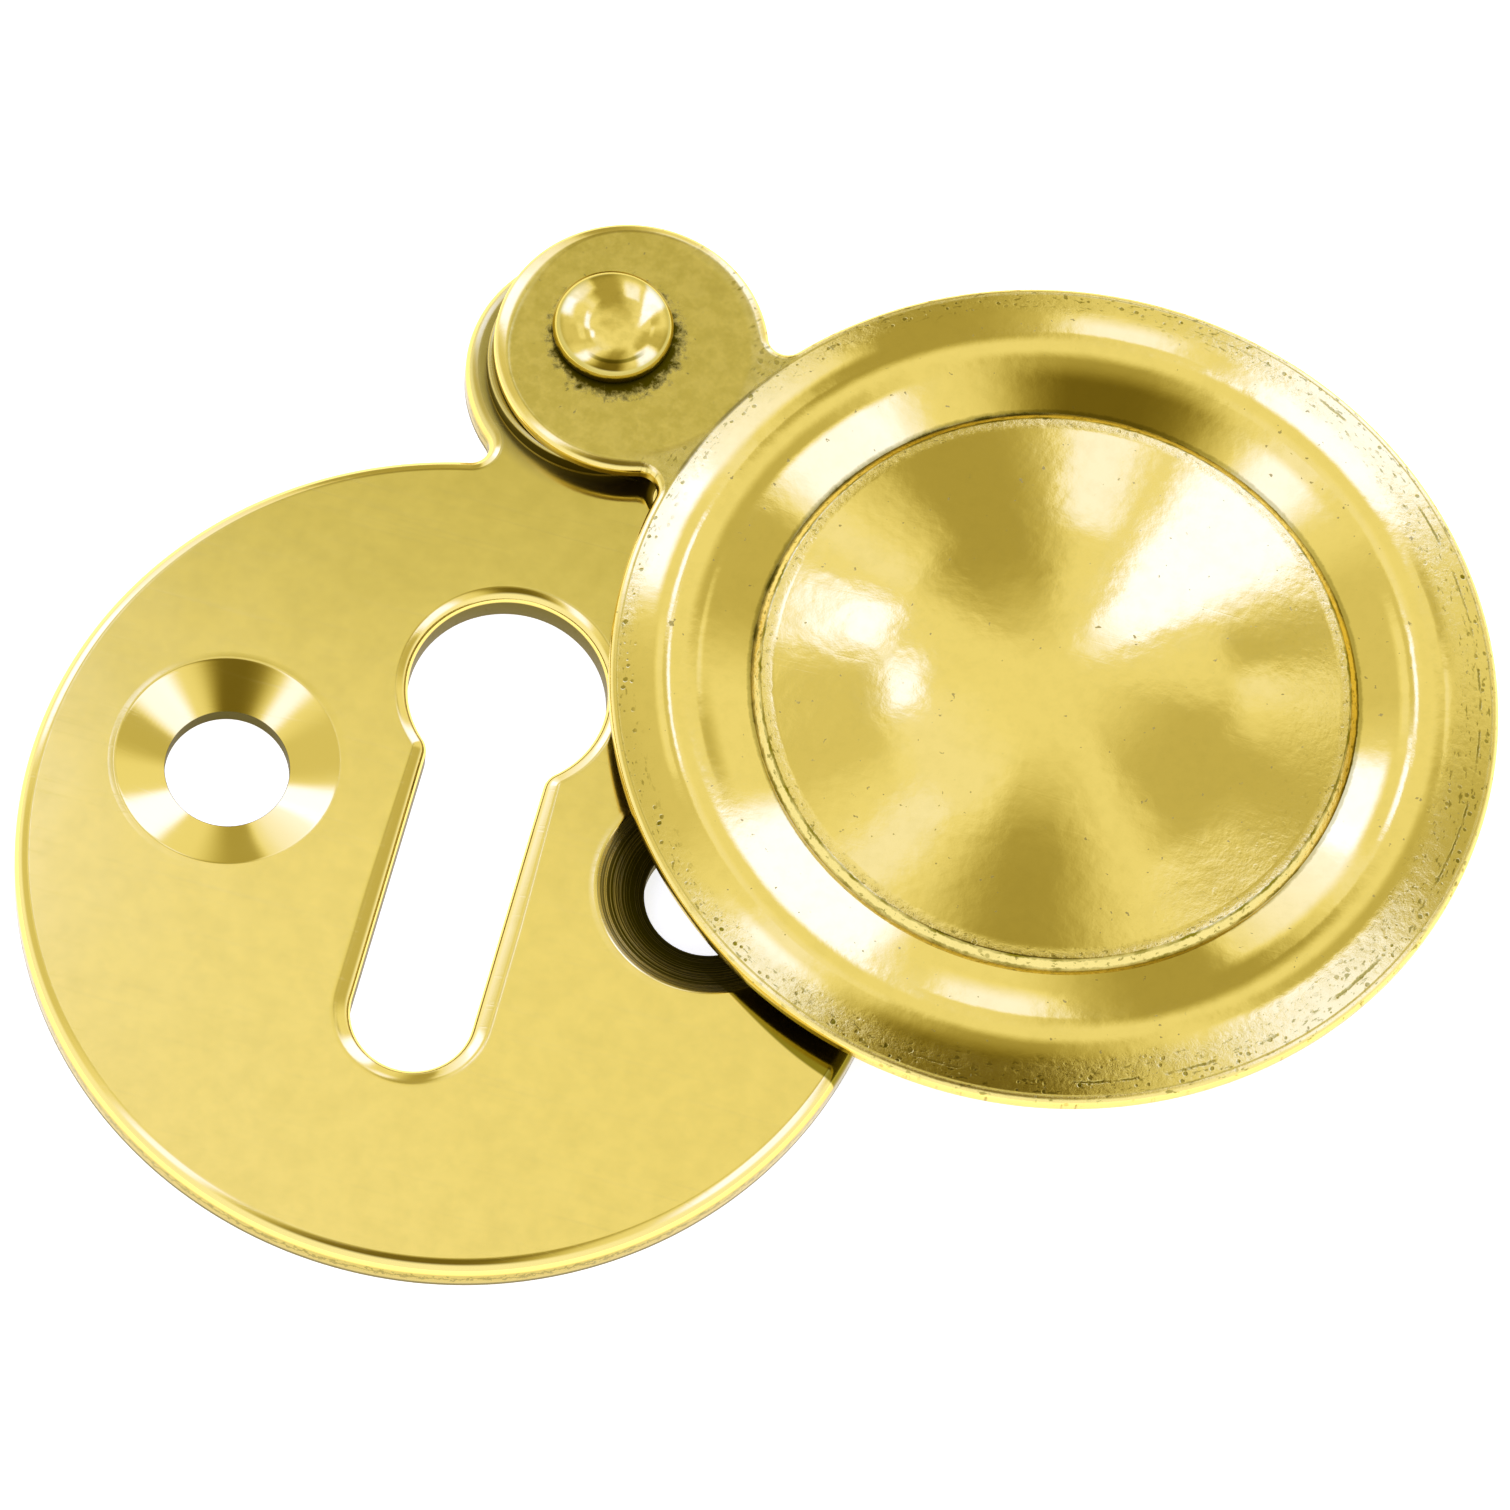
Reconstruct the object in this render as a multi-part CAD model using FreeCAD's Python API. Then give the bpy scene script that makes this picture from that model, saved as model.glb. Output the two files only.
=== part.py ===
import FreeCAD, Part
import math
import os

from FreeCAD import Vector

# Keyhole escutcheon with a swinging cover, in millimetres.
# It lies on its back: the back face is z = 0 and the front looks along +Z.
# The origin is the key's axis, at the centre of the keyhole's round part.
# +Y runs towards the ear, and the slot of the keyhole runs along -Y.

# Base plate
plate_diameter = 32.0
plate_thickness = 1.5
plate_edge_radius = 0.5
key_above_centre = 6.95

# Ears, which have the same outline on the plate and the cover
ear_radius = 5.1
ear_corner_radius = 0.7
ear_into_plate = 0.62
pivot_outside_ear_centre = 0.95

# Keyhole
key_round_diameter = 7.3
key_slot_width = 4.45
key_slot_depth = 15.4
key_neck_radius = 0.8
key_edge_radius = 0.45

# Countersunk screw holes
screw_inward_of_midway = 0.0925
screw_below_key = 5.66
screw_hole_diameter = 4.54
countersink_diameter = 8.08
countersink_depth = 0.74

# Swinging cover
cover_overhang = 0.32
cover_gap = 0.87
cover_swing_deg = 63.9
lip_thickness = 0.65
lip_edge_radius = 0.29
ring_foot_land = 0.03
ring_crest_inset = 2.42
ring_crest_rise = 0.4
groove_inset = 5.17
groove_below_crest = 0.55
dome_edge_width = 0.42
dome_edge_deg = 40.0
dome_edge_radius = 0.16
dome_flank_deg = 5.2
dome_tip_radius_at = 8.0

# Hollow back of the cover
rim_land = 1.3
ring_hollow_depth = 0.35
groove_web_width = 1.1
dome_wall = 0.85

# Pivot rivet and its seat
rivet_head_diameter = 4.5
rivet_head_side = 0.06
rivet_shoulder_radius = 0.75
rivet_crown_deg = 3.5
rivet_shank_diameter = 2.6
rivet_tail_diameter = 3.8
rivet_tail_depth = 0.55
rivet_tail_recess = 0.05
pivot_running_clearance = 0.05
seat_inside_ear = 0.75
seat_edge_radius = 0.15
ear_end_play = 0.08

# Sizes and places that follow from the ones above
UP = Vector(0, 0, 1)
plate_radius = plate_diameter / 2
cover_radius = plate_radius + cover_overhang
groove_radius = cover_radius - groove_inset
screw_from_middle = (key_slot_width / 2 + plate_radius) / 2 - screw_inward_of_midway
plate_centre = Vector(0, -key_above_centre, 0)
ear_centre = plate_centre + Vector(0, plate_radius + ear_radius - ear_into_plate, 0)
pivot = ear_centre + Vector(0, pivot_outside_ear_centre, 0)
cover_bottom = plate_thickness + cover_gap
lip_top = cover_bottom + lip_thickness
rivet_head_bottom = lip_top + ear_end_play
through = 1.0


def at_height(point, height):
    """The same point in plan, at another height."""
    return Vector(point.x, point.y, height)


def between_circles(centre_a, radius_a, centre_b, radius_b, side):
    """The point where two circles cross, right of the line from a to b for side 1, left for side -1."""
    along = centre_b - centre_a
    reach = along.Length
    foot = (radius_a**2 - radius_b**2 + reach**2) / (2 * reach)
    height = math.sqrt(radius_a**2 - foot**2)
    unit = along / reach
    across = Vector(unit.y, -unit.x, 0) * side
    return centre_a + unit * foot + across * height


def towards(start, end, distance):
    """The point at a distance from start on the way to end."""
    return start + (end - start).normalize() * distance


def lobed_outline(disc_centre, disc_radius, lobe_centre, lobe_radius, corner_radius):
    """A disc with a round ear, and a small round in each corner between them."""
    corners = {}
    for side in (1, -1):
        middle = between_circles(
            disc_centre, disc_radius + corner_radius,
            lobe_centre, lobe_radius + corner_radius, side,
        )
        on_disc = towards(disc_centre, middle, disc_radius)
        on_lobe = towards(lobe_centre, middle, lobe_radius)
        crossing = between_circles(disc_centre, disc_radius, lobe_centre, lobe_radius, side)
        halfway = towards(middle, crossing, corner_radius)
        corners[side] = (on_disc, halfway, on_lobe)
    outward = (lobe_centre - disc_centre).normalize()
    right_disc, right_halfway, right_lobe = corners[1]
    left_disc, left_halfway, left_lobe = corners[-1]
    edges = [
        Part.Arc(left_disc, disc_centre - outward * disc_radius, right_disc).toShape(),
        Part.Arc(right_disc, right_halfway, right_lobe).toShape(),
        Part.Arc(right_lobe, lobe_centre + outward * lobe_radius, left_lobe).toShape(),
        Part.Arc(left_lobe, left_halfway, left_disc).toShape(),
    ]
    return Part.Wire(edges)


def rounded_slab(outline, bottom, thickness, edge_radius):
    """A flat slab of an outline, with its upper outer edge rounded."""
    face = Part.Face(outline)
    face.translate(UP * bottom)
    slab = face.extrude(UP * thickness)
    top = bottom + thickness
    rim = [edge for edge in slab.Edges if edge.BoundBox.ZMin > top - edge_radius / 2]
    return slab.makeFillet(edge_radius, rim)


def turned(profile_edges, centre):
    """A solid turned about the upright line through centre, from edges drawn in the XZ plane."""
    face = Part.Face(Part.Wire(profile_edges))
    solid = face.revolve(Vector(0, 0, 0), UP, 360)
    solid.translate(at_height(centre, 0))
    return solid


def section(radius, height):
    """A point of a turned profile."""
    return Vector(radius, 0, height)


def line(start, end):
    return Part.LineSegment(start, end).toShape()


def arc(start, middle, end):
    return Part.Arc(start, middle, end).toShape()


def level_arc(top, end):
    """An arc that starts level at top and falls away to end."""
    across = end.x - top.x
    drop = top.z - end.z
    radius = (across**2 + drop**2) / (2 * drop)
    turn = math.asin(abs(across) / radius) / 2
    side = math.copysign(1, across)
    middle = section(top.x + side * radius * math.sin(turn), top.z - radius * (1 - math.cos(turn)))
    return arc(top, middle, end)


def keyhole_outline(height):
    """The keyhole: a round hole over a round-ended slot, joined by soft necks."""
    round_radius = key_round_diameter / 2
    half_slot = key_slot_width / 2
    neck_centre_x = half_slot + key_neck_radius
    neck_centre_y = -math.sqrt((round_radius + key_neck_radius) ** 2 - neck_centre_x**2)
    end_y = half_slot - key_slot_depth
    edges = []
    corners = {}
    for side in (1, -1):
        neck = Vector(side * neck_centre_x, neck_centre_y, height)
        on_round = towards(Vector(0, 0, height), neck, round_radius)
        on_slot = Vector(side * half_slot, neck_centre_y, height)
        crossing = Vector(side * half_slot, -math.sqrt(round_radius**2 - half_slot**2), height)
        halfway = towards(neck, crossing, key_neck_radius)
        slot_end = Vector(side * half_slot, end_y, height)
        corners[side] = (on_round, slot_end)
        edges.append(Part.Arc(on_round, halfway, on_slot).toShape())
        edges.append(line(on_slot, slot_end))
    right_round, right_end = corners[1]
    left_round, left_end = corners[-1]
    edges.append(Part.Arc(left_round, Vector(0, round_radius, height), right_round).toShape())
    edges.append(Part.Arc(right_end, Vector(0, -key_slot_depth, height), left_end).toShape())
    return Part.Wire(Part.__sortEdges__(edges))


def cut_keyhole(plate):
    """Cut the keyhole through the plate and round its front edge."""
    keyhole = Part.Face(keyhole_outline(-through)).extrude(UP * (plate_thickness + 2 * through))
    pierced = plate.cut(keyhole)
    bounds = keyhole.BoundBox
    front_edges = []
    for edge in pierced.Edges:
        box = edge.BoundBox
        in_front = box.ZMin > plate_thickness - key_edge_radius / 2
        across = bounds.XMin - key_edge_radius < box.XMin and box.XMax < bounds.XMax + key_edge_radius
        along = bounds.YMin - key_edge_radius < box.YMin and box.YMax < bounds.YMax + key_edge_radius
        if in_front and across and along:
            front_edges.append(edge)
    return pierced.makeFillet(key_edge_radius, front_edges)


def screw_hole(centre):
    """A clearance hole with a wide shallow countersink in the front face."""
    hole_radius = screw_hole_diameter / 2
    sink_radius = countersink_diameter / 2
    sink_bottom = plate_thickness - countersink_depth
    hole = Part.makeCylinder(hole_radius, plate_thickness + 2 * through, at_height(centre, -through))
    sink = Part.makeCone(hole_radius, sink_radius, countersink_depth, at_height(centre, sink_bottom))
    return hole.fuse(sink)


def rivet_core():
    """The rivet's shank with its tail, spread into the back of the plate's ear."""
    shank_radius = rivet_shank_diameter / 2
    tail_radius = rivet_tail_diameter / 2
    shank_start = rivet_tail_recess + rivet_tail_depth
    tail = Part.makeCone(
        tail_radius, shank_radius, rivet_tail_depth, at_height(pivot, rivet_tail_recess)
    )
    shank = Part.makeCylinder(
        shank_radius, rivet_head_bottom - shank_start, at_height(pivot, shank_start)
    )
    return tail.fuse(shank)


def make_base_plate():
    """The plate with its ear, keyhole, screw holes and the raised seat that carries the cover's ear."""
    outline = lobed_outline(
        plate_centre, plate_radius, ear_centre, ear_radius, ear_corner_radius
    )
    plate = rounded_slab(outline, 0, plate_thickness, plate_edge_radius)
    plate = cut_keyhole(plate)
    for side in (1, -1):
        plate = plate.cut(screw_hole(Vector(side * screw_from_middle, -screw_below_key, 0)))
    seat_radius = ear_radius - seat_inside_ear
    seat_height = cover_gap - ear_end_play
    seat = Part.makeCylinder(seat_radius, seat_height, at_height(ear_centre, plate_thickness))
    seat_rim = [edge for edge in seat.Edges if edge.BoundBox.ZMin > plate_thickness + seat_height / 2]
    seat = seat.makeFillet(seat_edge_radius, seat_rim)
    recess = Part.makeCylinder(rivet_tail_diameter / 2, rivet_tail_recess, at_height(pivot, 0))
    return plate.fuse(seat).removeSplitter().cut(rivet_core()).cut(recess)


def cover_front():
    """The moulded front of the cover: raised ring, groove and low dome, turned as one."""
    foot_radius = cover_radius - lip_edge_radius - ring_foot_land
    crest = section(cover_radius - ring_crest_inset, lip_top + ring_crest_rise)
    groove = section(groove_radius, crest.z - groove_below_crest)
    slant = math.radians(dome_edge_deg)
    flank = math.radians(dome_flank_deg)

    # A narrow slant rises from the groove, and a small round turns it into the dome's flank.
    corner = groove + section(-dome_edge_width, dome_edge_width * math.tan(slant))
    run = dome_edge_radius * math.tan((slant - flank) / 2)
    bend_start = corner + section(run * math.cos(slant), -run * math.sin(slant))
    bend_centre = bend_start - section(dome_edge_radius * math.sin(slant), dome_edge_radius * math.cos(slant))
    bend = []
    for angle in (slant, (slant + flank) / 2, flank):
        out = section(math.sin(angle), math.cos(angle))
        bend.append(bend_centre + out * dome_edge_radius)
    flank_end = section(dome_tip_radius_at, bend[2].z + (bend[2].x - dome_tip_radius_at) * math.tan(flank))
    tip_radius = dome_tip_radius_at / math.sin(flank)
    tip = section(0, flank_end.z + tip_radius * (1 - math.cos(flank)))

    edges = [
        line(section(0, cover_bottom), section(foot_radius, cover_bottom)),
        line(section(foot_radius, cover_bottom), section(foot_radius, lip_top)),
        level_arc(crest, section(foot_radius, lip_top)),
        level_arc(crest, groove),
        line(groove, bend[0]),
        arc(*bend),
        line(bend[2], flank_end),
        level_arc(tip, flank_end),
        line(tip, section(0, cover_bottom)),
    ]
    front = turned(Part.__sortEdges__(edges), plate_centre)
    return front, tip.z


def cover_hollows(tip_height):
    """The two hollows in the cover's back: one under the raised ring and one under the dome."""
    ring_outer = cover_radius - rim_land
    ring_inner = groove_radius + groove_web_width / 2
    dome_outer = groove_radius - groove_web_width
    under = cover_bottom - through
    ring_roof = cover_bottom + ring_hollow_depth
    ring_edges = [
        line(section(ring_inner, under), section(ring_outer, under)),
        line(section(ring_outer, under), section(ring_outer, cover_bottom)),
        arc(
            section(ring_outer, cover_bottom),
            section((ring_outer + ring_inner) / 2, ring_roof),
            section(ring_inner, cover_bottom),
        ),
        line(section(ring_inner, cover_bottom), section(ring_inner, under)),
    ]
    dome_roof = section(0, tip_height - dome_wall)
    dome_edges = [
        line(section(0, under), section(dome_outer, under)),
        line(section(dome_outer, under), section(dome_outer, cover_bottom)),
        level_arc(dome_roof, section(dome_outer, cover_bottom)),
        line(dome_roof, section(0, under)),
    ]
    ring_hollow = turned(Part.__sortEdges__(ring_edges), plate_centre)
    dome_hollow = turned(Part.__sortEdges__(dome_edges), plate_centre)
    return [ring_hollow, dome_hollow]


def make_swing_cover():
    """The cover, modelled shut over the plate and then swung aside about the rivet."""
    outline = lobed_outline(
        plate_centre, cover_radius, ear_centre, ear_radius, ear_corner_radius
    )
    lip = rounded_slab(outline, cover_bottom, lip_thickness, lip_edge_radius)
    front, tip_height = cover_front()
    cover = lip.fuse(front).removeSplitter()
    for hollow in cover_hollows(tip_height):
        cover = cover.cut(hollow)
    bore_radius = rivet_shank_diameter / 2 + pivot_running_clearance
    bore_start = at_height(pivot, cover_bottom - through)
    cover = cover.cut(Part.makeCylinder(bore_radius, lip_thickness + 2 * through, bore_start))
    cover.rotate(pivot, UP, cover_swing_deg)
    return cover


def make_pivot_rivet():
    """The rivet: a head with a nearly flat crown and a full round shoulder, a shank and a spread tail."""
    radius = rivet_head_diameter / 2
    side_top = rivet_head_bottom + rivet_head_side
    crown_turn = math.radians(rivet_crown_deg)
    shoulder_centre = section(radius - rivet_shoulder_radius, side_top)
    shoulder = []
    for angle in (math.pi / 2, (math.pi / 2 + crown_turn) / 2, crown_turn):
        out = section(math.sin(angle), math.cos(angle))
        shoulder.append(shoulder_centre + out * rivet_shoulder_radius)
    crown_edge = shoulder[2]
    tip = section(0, crown_edge.z + crown_edge.x * math.tan(crown_turn / 2))
    edges = [
        line(section(0, rivet_head_bottom), section(radius, rivet_head_bottom)),
        line(section(radius, rivet_head_bottom), section(radius, side_top)),
        arc(*shoulder),
        level_arc(tip, crown_edge),
        line(tip, section(0, rivet_head_bottom)),
    ]
    head = turned(Part.__sortEdges__(edges), pivot)
    return rivet_core().fuse(head).removeSplitter()


nodes = {
    "base_plate": make_base_plate(),
    "swing_cover": make_swing_cover(),
    "pivot_rivet": make_pivot_rivet(),
}

os.makedirs("parts", exist_ok=True)
for name, shape in nodes.items():
    solids = shape.Solids
    body = solids[0] if len(solids) == 1 else Part.makeCompound(solids)
    body.exportStep(os.path.join("parts", name + ".step"))
    box = body.optimalBoundingBox(False, False)
    print(
        f"{name}: {len(solids)} solid, valid {body.isValid()}, {body.Volume:.1f} mm3, "
        f"x {box.XMin:.2f} to {box.XMax:.2f}, y {box.YMin:.2f} to {box.YMax:.2f}, "
        f"z {box.ZMin:.2f} to {box.ZMax:.2f}"
    )
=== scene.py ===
# %% [markdown]
# # A brass keyhole escutcheon, lying open
#
# An escutcheon is the metal plate round a keyhole. This one is a pair of brass castings, turned and
# polished, held together by one rivet: a round plate with the keyhole and two screw holes, and a
# moulded cover that swings over the keyhole to keep the draught out.
#
# The construction model gives every size. This lesson dresses it: three polished pieces, each made
# finer than the construction model needs, then the brass, the light and the camera.

import bmesh
import bpy
import math
from mathutils import Matrix, Vector, noise
from mathutils.geometry import delaunay_2d_cdt


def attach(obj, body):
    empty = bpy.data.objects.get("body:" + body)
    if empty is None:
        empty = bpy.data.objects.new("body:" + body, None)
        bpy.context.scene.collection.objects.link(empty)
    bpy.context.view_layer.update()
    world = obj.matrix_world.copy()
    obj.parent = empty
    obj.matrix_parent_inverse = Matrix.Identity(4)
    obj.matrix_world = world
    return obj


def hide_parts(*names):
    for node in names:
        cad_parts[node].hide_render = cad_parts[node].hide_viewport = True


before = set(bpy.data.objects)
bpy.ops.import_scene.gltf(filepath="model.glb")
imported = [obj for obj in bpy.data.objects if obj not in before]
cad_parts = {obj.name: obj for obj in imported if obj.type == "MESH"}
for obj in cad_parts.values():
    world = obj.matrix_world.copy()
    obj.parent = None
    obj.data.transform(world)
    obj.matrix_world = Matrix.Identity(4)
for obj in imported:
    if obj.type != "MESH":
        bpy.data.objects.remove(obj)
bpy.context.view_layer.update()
MM = 0.001
print("nodes:", sorted(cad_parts))

# %% [markdown]
# ## Outlines
#
# Polished brass is a mirror, and a mirror shows every flat facet of a mesh. The construction model's
# triangles are fine for measuring and too coarse for that, so each piece is made again here. A
# boolean cut would be quick but leaves long thin triangles beside every hole. The way chosen is the
# one a spinner or an engraver would know: draw an outline, repeat it at other heights and insets as
# loops, and join neighbouring loops with a strip of squares. The squares follow the form, so the
# shading does too.
#
# An outline here is a list of places, each with the direction that leads out of the shape there.

# %% Arcs and straight runs
def along_arc(centre, radius, start_deg, end_deg, step, hollow=False):
    """Places along an arc. In a hollow arc the way out leads to the arc's own centre."""
    turn = math.radians(end_deg - start_deg)
    count = max(6, math.ceil(abs(turn) * radius / step))
    places = []
    for i in range(count):
        angle = math.radians(start_deg) + turn * i / count
        out = Vector((math.cos(angle), math.sin(angle)))
        places.append((Vector(centre) + out * radius, -out if hollow else out))
    return places


def along_run(start, end, out, step):
    """Places along a straight run, which all share one way out."""
    start, end = Vector(start), Vector(end)
    count = max(2, math.ceil((end - start).length / step))
    return [(start.lerp(end, i / count), Vector(out)) for i in range(count)]


def moved_out(outline, distance):
    return [place + out * distance for place, out in outline]


def circle(centre, radius, count):
    """The points of a full circle."""
    return moved_out(along_arc(centre, radius, 0, 360, 2 * math.pi * radius / count), 0)

# %% The outline of a disc with an ear
def disc_with_ear(disc, disc_radius, ear, ear_radius, corner_radius, step):
    """A disc and a round ear above it, with a small hollow round in each corner between them."""
    apart = ear[1] - disc[1]
    to_disc = disc_radius + corner_radius
    to_ear = ear_radius + corner_radius
    foot = (to_disc**2 - to_ear**2 + apart**2) / (2 * apart)
    aside = math.sqrt(to_disc**2 - foot**2)
    on_disc = math.degrees(math.atan2(foot, aside))
    on_ear = math.degrees(math.atan2(foot - apart, aside))
    corner_y = disc[1] + foot
    small = step / 4
    return [
        *along_arc(disc, disc_radius, 180 - on_disc, 360 + on_disc, step),
        *along_arc((aside, corner_y), corner_radius, 180 + on_disc, 180 + on_ear, small, hollow=True),
        *along_arc(ear, ear_radius, on_ear, 180 - on_ear, step),
        *along_arc((-aside, corner_y), corner_radius, -on_ear, -on_disc, small, hollow=True),
    ]

# %% The outline of a keyhole
def keyhole(round_radius, half_slot, depth, neck_radius, step):
    """A round hole over a round-ended slot, with soft necks where they meet."""
    neck_x = half_slot + neck_radius
    neck_y = -math.sqrt((round_radius + neck_radius) ** 2 - neck_x**2)
    to_neck = math.degrees(math.atan2(neck_y, neck_x))
    end_y = half_slot - depth
    small = step / 2
    return [
        *along_arc((0, 0), round_radius, to_neck, 180 - to_neck, step),
        *along_arc((-neck_x, neck_y), neck_radius, -to_neck, 0, small, hollow=True),
        *along_run((-half_slot, neck_y), (-half_slot, end_y), (-1, 0), step),
        *along_arc((0, end_y), half_slot, 180, 360, step),
        *along_run((half_slot, end_y), (half_slot, neck_y), (1, 0), step),
        *along_arc((neck_x, neck_y), neck_radius, 180, 180 + to_neck, small, hollow=True),
    ]

# %% [markdown]
# ## Loops, walls and lands
#
# Three small tools make every surface of the pieces. A loop lays an outline into the mesh at a
# height. A wall joins two loops of the same count. A land is a flat face between an outer loop and
# the holes in it; a constrained triangulation fills it without adding a point, and because it is
# dead flat its long triangles can't show.

# %% Mesh tools
def loop_of(mesh, points, height):
    """Lay points into the mesh. The height is one number, or a list with one for each point."""
    heights = height if isinstance(height, list) else [height] * len(points)
    return [mesh.verts.new((p.x * MM, p.y * MM, z * MM)) for p, z in zip(points, heights)]


def wall(mesh, first, second):
    count = len(first)
    for i in range(count):
        j = (i + 1) % count
        mesh.faces.new((first[i], first[j], second[j], second[i])).smooth = True


def walls(mesh, loops):
    for first, second in zip(loops, loops[1:]):
        wall(mesh, first, second)


def inside(point, polygon):
    """Whether a point of the plan lies inside a closed polygon."""
    crossings = 0
    for a, b in zip(polygon, polygon[1:] + polygon[:1]):
        if (a.y > point.y) != (b.y > point.y):
            if point.x < a.x + (b.x - a.x) * (point.y - a.y) / (b.y - a.y):
                crossings += 1
    return crossings % 2 == 1


def land(mesh, outer, holes):
    """A flat face between an outer loop and the loops of the holes in it."""
    loops = [outer, *holes]
    verts = [vert for loop in loops for vert in loop]
    plan = [vert.co.xy / MM for vert in verts]
    edges = []
    start = 0
    for loop in loops:
        count = len(loop)
        edges += [(start + i, start + (i + 1) % count) for i in range(count)]
        start += count
    triangles = delaunay_2d_cdt(plan, edges, [], 1, 1e-6)[2]
    rims = [[vert.co.xy / MM for vert in hole] for hole in holes]
    for triangle in triangles:
        middle = sum((plan[i] for i in triangle), Vector((0, 0))) / 3
        if not any(inside(middle, rim) for rim in rims):
            mesh.faces.new([verts[i] for i in triangle])


def tip(mesh, loop, centre, height):
    """Close a loop with a fan about a middle point."""
    top = mesh.verts.new((centre[0] * MM, centre[1] * MM, height * MM))
    for i in range(len(loop)):
        mesh.faces.new((loop[i], loop[(i + 1) % len(loop)], top)).smooth = True

# %% [markdown]
# A rounded edge steps in while it steps up. Small rounds matter more than any texture, because each
# one catches a thin line of light, and those lines are what tell the eye that the plate is solid
# metal. Hand polishing rounds some edges more than others, so the width of the round may change from
# place to place while its drop stays the same.

# %% Rounded edges
def rounded(mesh, outline, top, drop, steps, width=None, outwards=1, downwards=False):
    """Loops round an edge, from the upright side to the level top, or to the bottom if downwards."""
    widths = [width(place) if width else drop for place, out in outline]
    rise = -1 if downwards else 1
    loops = []
    for i in range(steps + 1):
        angle = math.pi / 2 * i / steps
        share = 1 - math.cos(angle)
        height = top - rise * drop * (1 - math.sin(angle))
        points = [place - out * (outwards * share * w) for (place, out), w in zip(outline, widths)]
        loops.append(loop_of(mesh, points, height))
    points = [place - out * (outwards * 1.08 * w) for (place, out), w in zip(outline, widths)]
    loops.append(loop_of(mesh, points, top))
    return loops

# %% Finish a mesh and put it on its body
def finished_piece(mesh, name, body, node, sharp_deg=28):
    """Turn the mesh into a shown piece that stands for a construction node and rides with its body."""
    bmesh.ops.recalc_face_normals(mesh, faces=mesh.faces)
    loose = [edge for edge in mesh.edges if len(edge.link_faces) != 2]
    smooth = [face.smooth for face in mesh.faces]
    data = bpy.data.meshes.new(name)
    mesh.to_mesh(data)
    mesh.free()
    data.set_sharp_from_angle(angle=math.radians(sharp_deg))
    data.polygons.foreach_set("use_smooth", smooth)
    piece = bpy.data.objects.new(name, data)
    bpy.context.scene.collection.objects.link(piece)
    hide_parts(node)
    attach(piece, body)
    print(f"{name}: {len(data.vertices)} points, {len(data.polygons)} faces, {len(loose)} open edges")
    return piece

# %% [markdown]
# ## The base plate
#
# The plate is cast flat, its front edge is eased by polishing, and the keyhole and the countersinks
# are cut through. The ear carries a raised seat, nearly as wide as the ear, that lifts the cover
# clear of the plate. All of it is one casting, so it is one mesh.

# %% Sizes of the plate in mm
PLATE_CENTRE = (0, -6.95)
PLATE_RADIUS = 16.0
PLATE_TOP = 1.5
EAR_CENTRE = (0, 13.53)
EAR_RADIUS = 5.1
EAR_CORNER = 0.7
PIVOT = (0, 14.48)
SEAT_RADIUS = 4.35
SEAT_TOP = 2.29
SHANK_RADIUS = 1.3
FINE = 0.28

plate_outline = disc_with_ear(PLATE_CENTRE, PLATE_RADIUS, EAR_CENTRE, EAR_RADIUS, EAR_CORNER, FINE)
print("points round the plate:", len(plate_outline))

# %% [markdown]
# A countersink is a shallow cone. The tool that cuts it throws up a slight burr, which polishing
# leaves as a soft raised lip just outside the rim; it shows as a pale crescent on the side that
# faces the light.

# %% A countersunk hole
SINK_RADIUS = 4.04
SINK_DEPTH = 0.74
HOLE_RADIUS = 2.27
SCREW_HOLES = ((-9.02, -5.66), (9.02, -5.66))
BURR = ((4.34, 0), (4.26, 0.002), (4.16, 0.007), (4.09, 0.010), (4.04, 0.004))
BURR_SIDE = Vector((-0.87, 0.5))


def countersink(mesh, centre, seed, count=160, rings=28):
    """The loops of a countersunk hole, from the land in front down to the back."""
    loops = []
    for radius, rise in BURR:
        points = circle(centre, radius, count)
        sides = [0.5 - 0.5 * (p - Vector(centre)).dot(BURR_SIDE) / radius for p in points]
        loops.append(loop_of(mesh, points, [PLATE_TOP + rise * (1 - side) for side in sides]))
    for i in range(1, rings + 1):
        share = i / rings
        points = circle(centre, SINK_RADIUS + (HOLE_RADIUS - SINK_RADIUS) * share, count)
        depth = SINK_DEPTH * share
        chatter = [0.006 * noise.noise(Vector((p.x * 0.5, p.y * 0.5, seed))) for p in points]
        heights = [PLATE_TOP - depth + c * 4 * share * (1 - share) for c in chatter]
        loops.append(loop_of(mesh, points, heights))
    loops.append(loop_of(mesh, circle(centre, HOLE_RADIUS, count), 0.1))
    loops.append(loop_of(mesh, circle(centre, HOLE_RADIUS + 0.08, count), 0))
    walls(mesh, loops)
    return loops[0], loops[-1]

# %% Build the plate
def key_edge_width(place):
    """The keyhole was filed by hand, and its edge is eased most at the foot of the slot."""
    return 0.5 + 0.22 * max(0.0, min(1.0, -place.y / 9))


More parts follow.
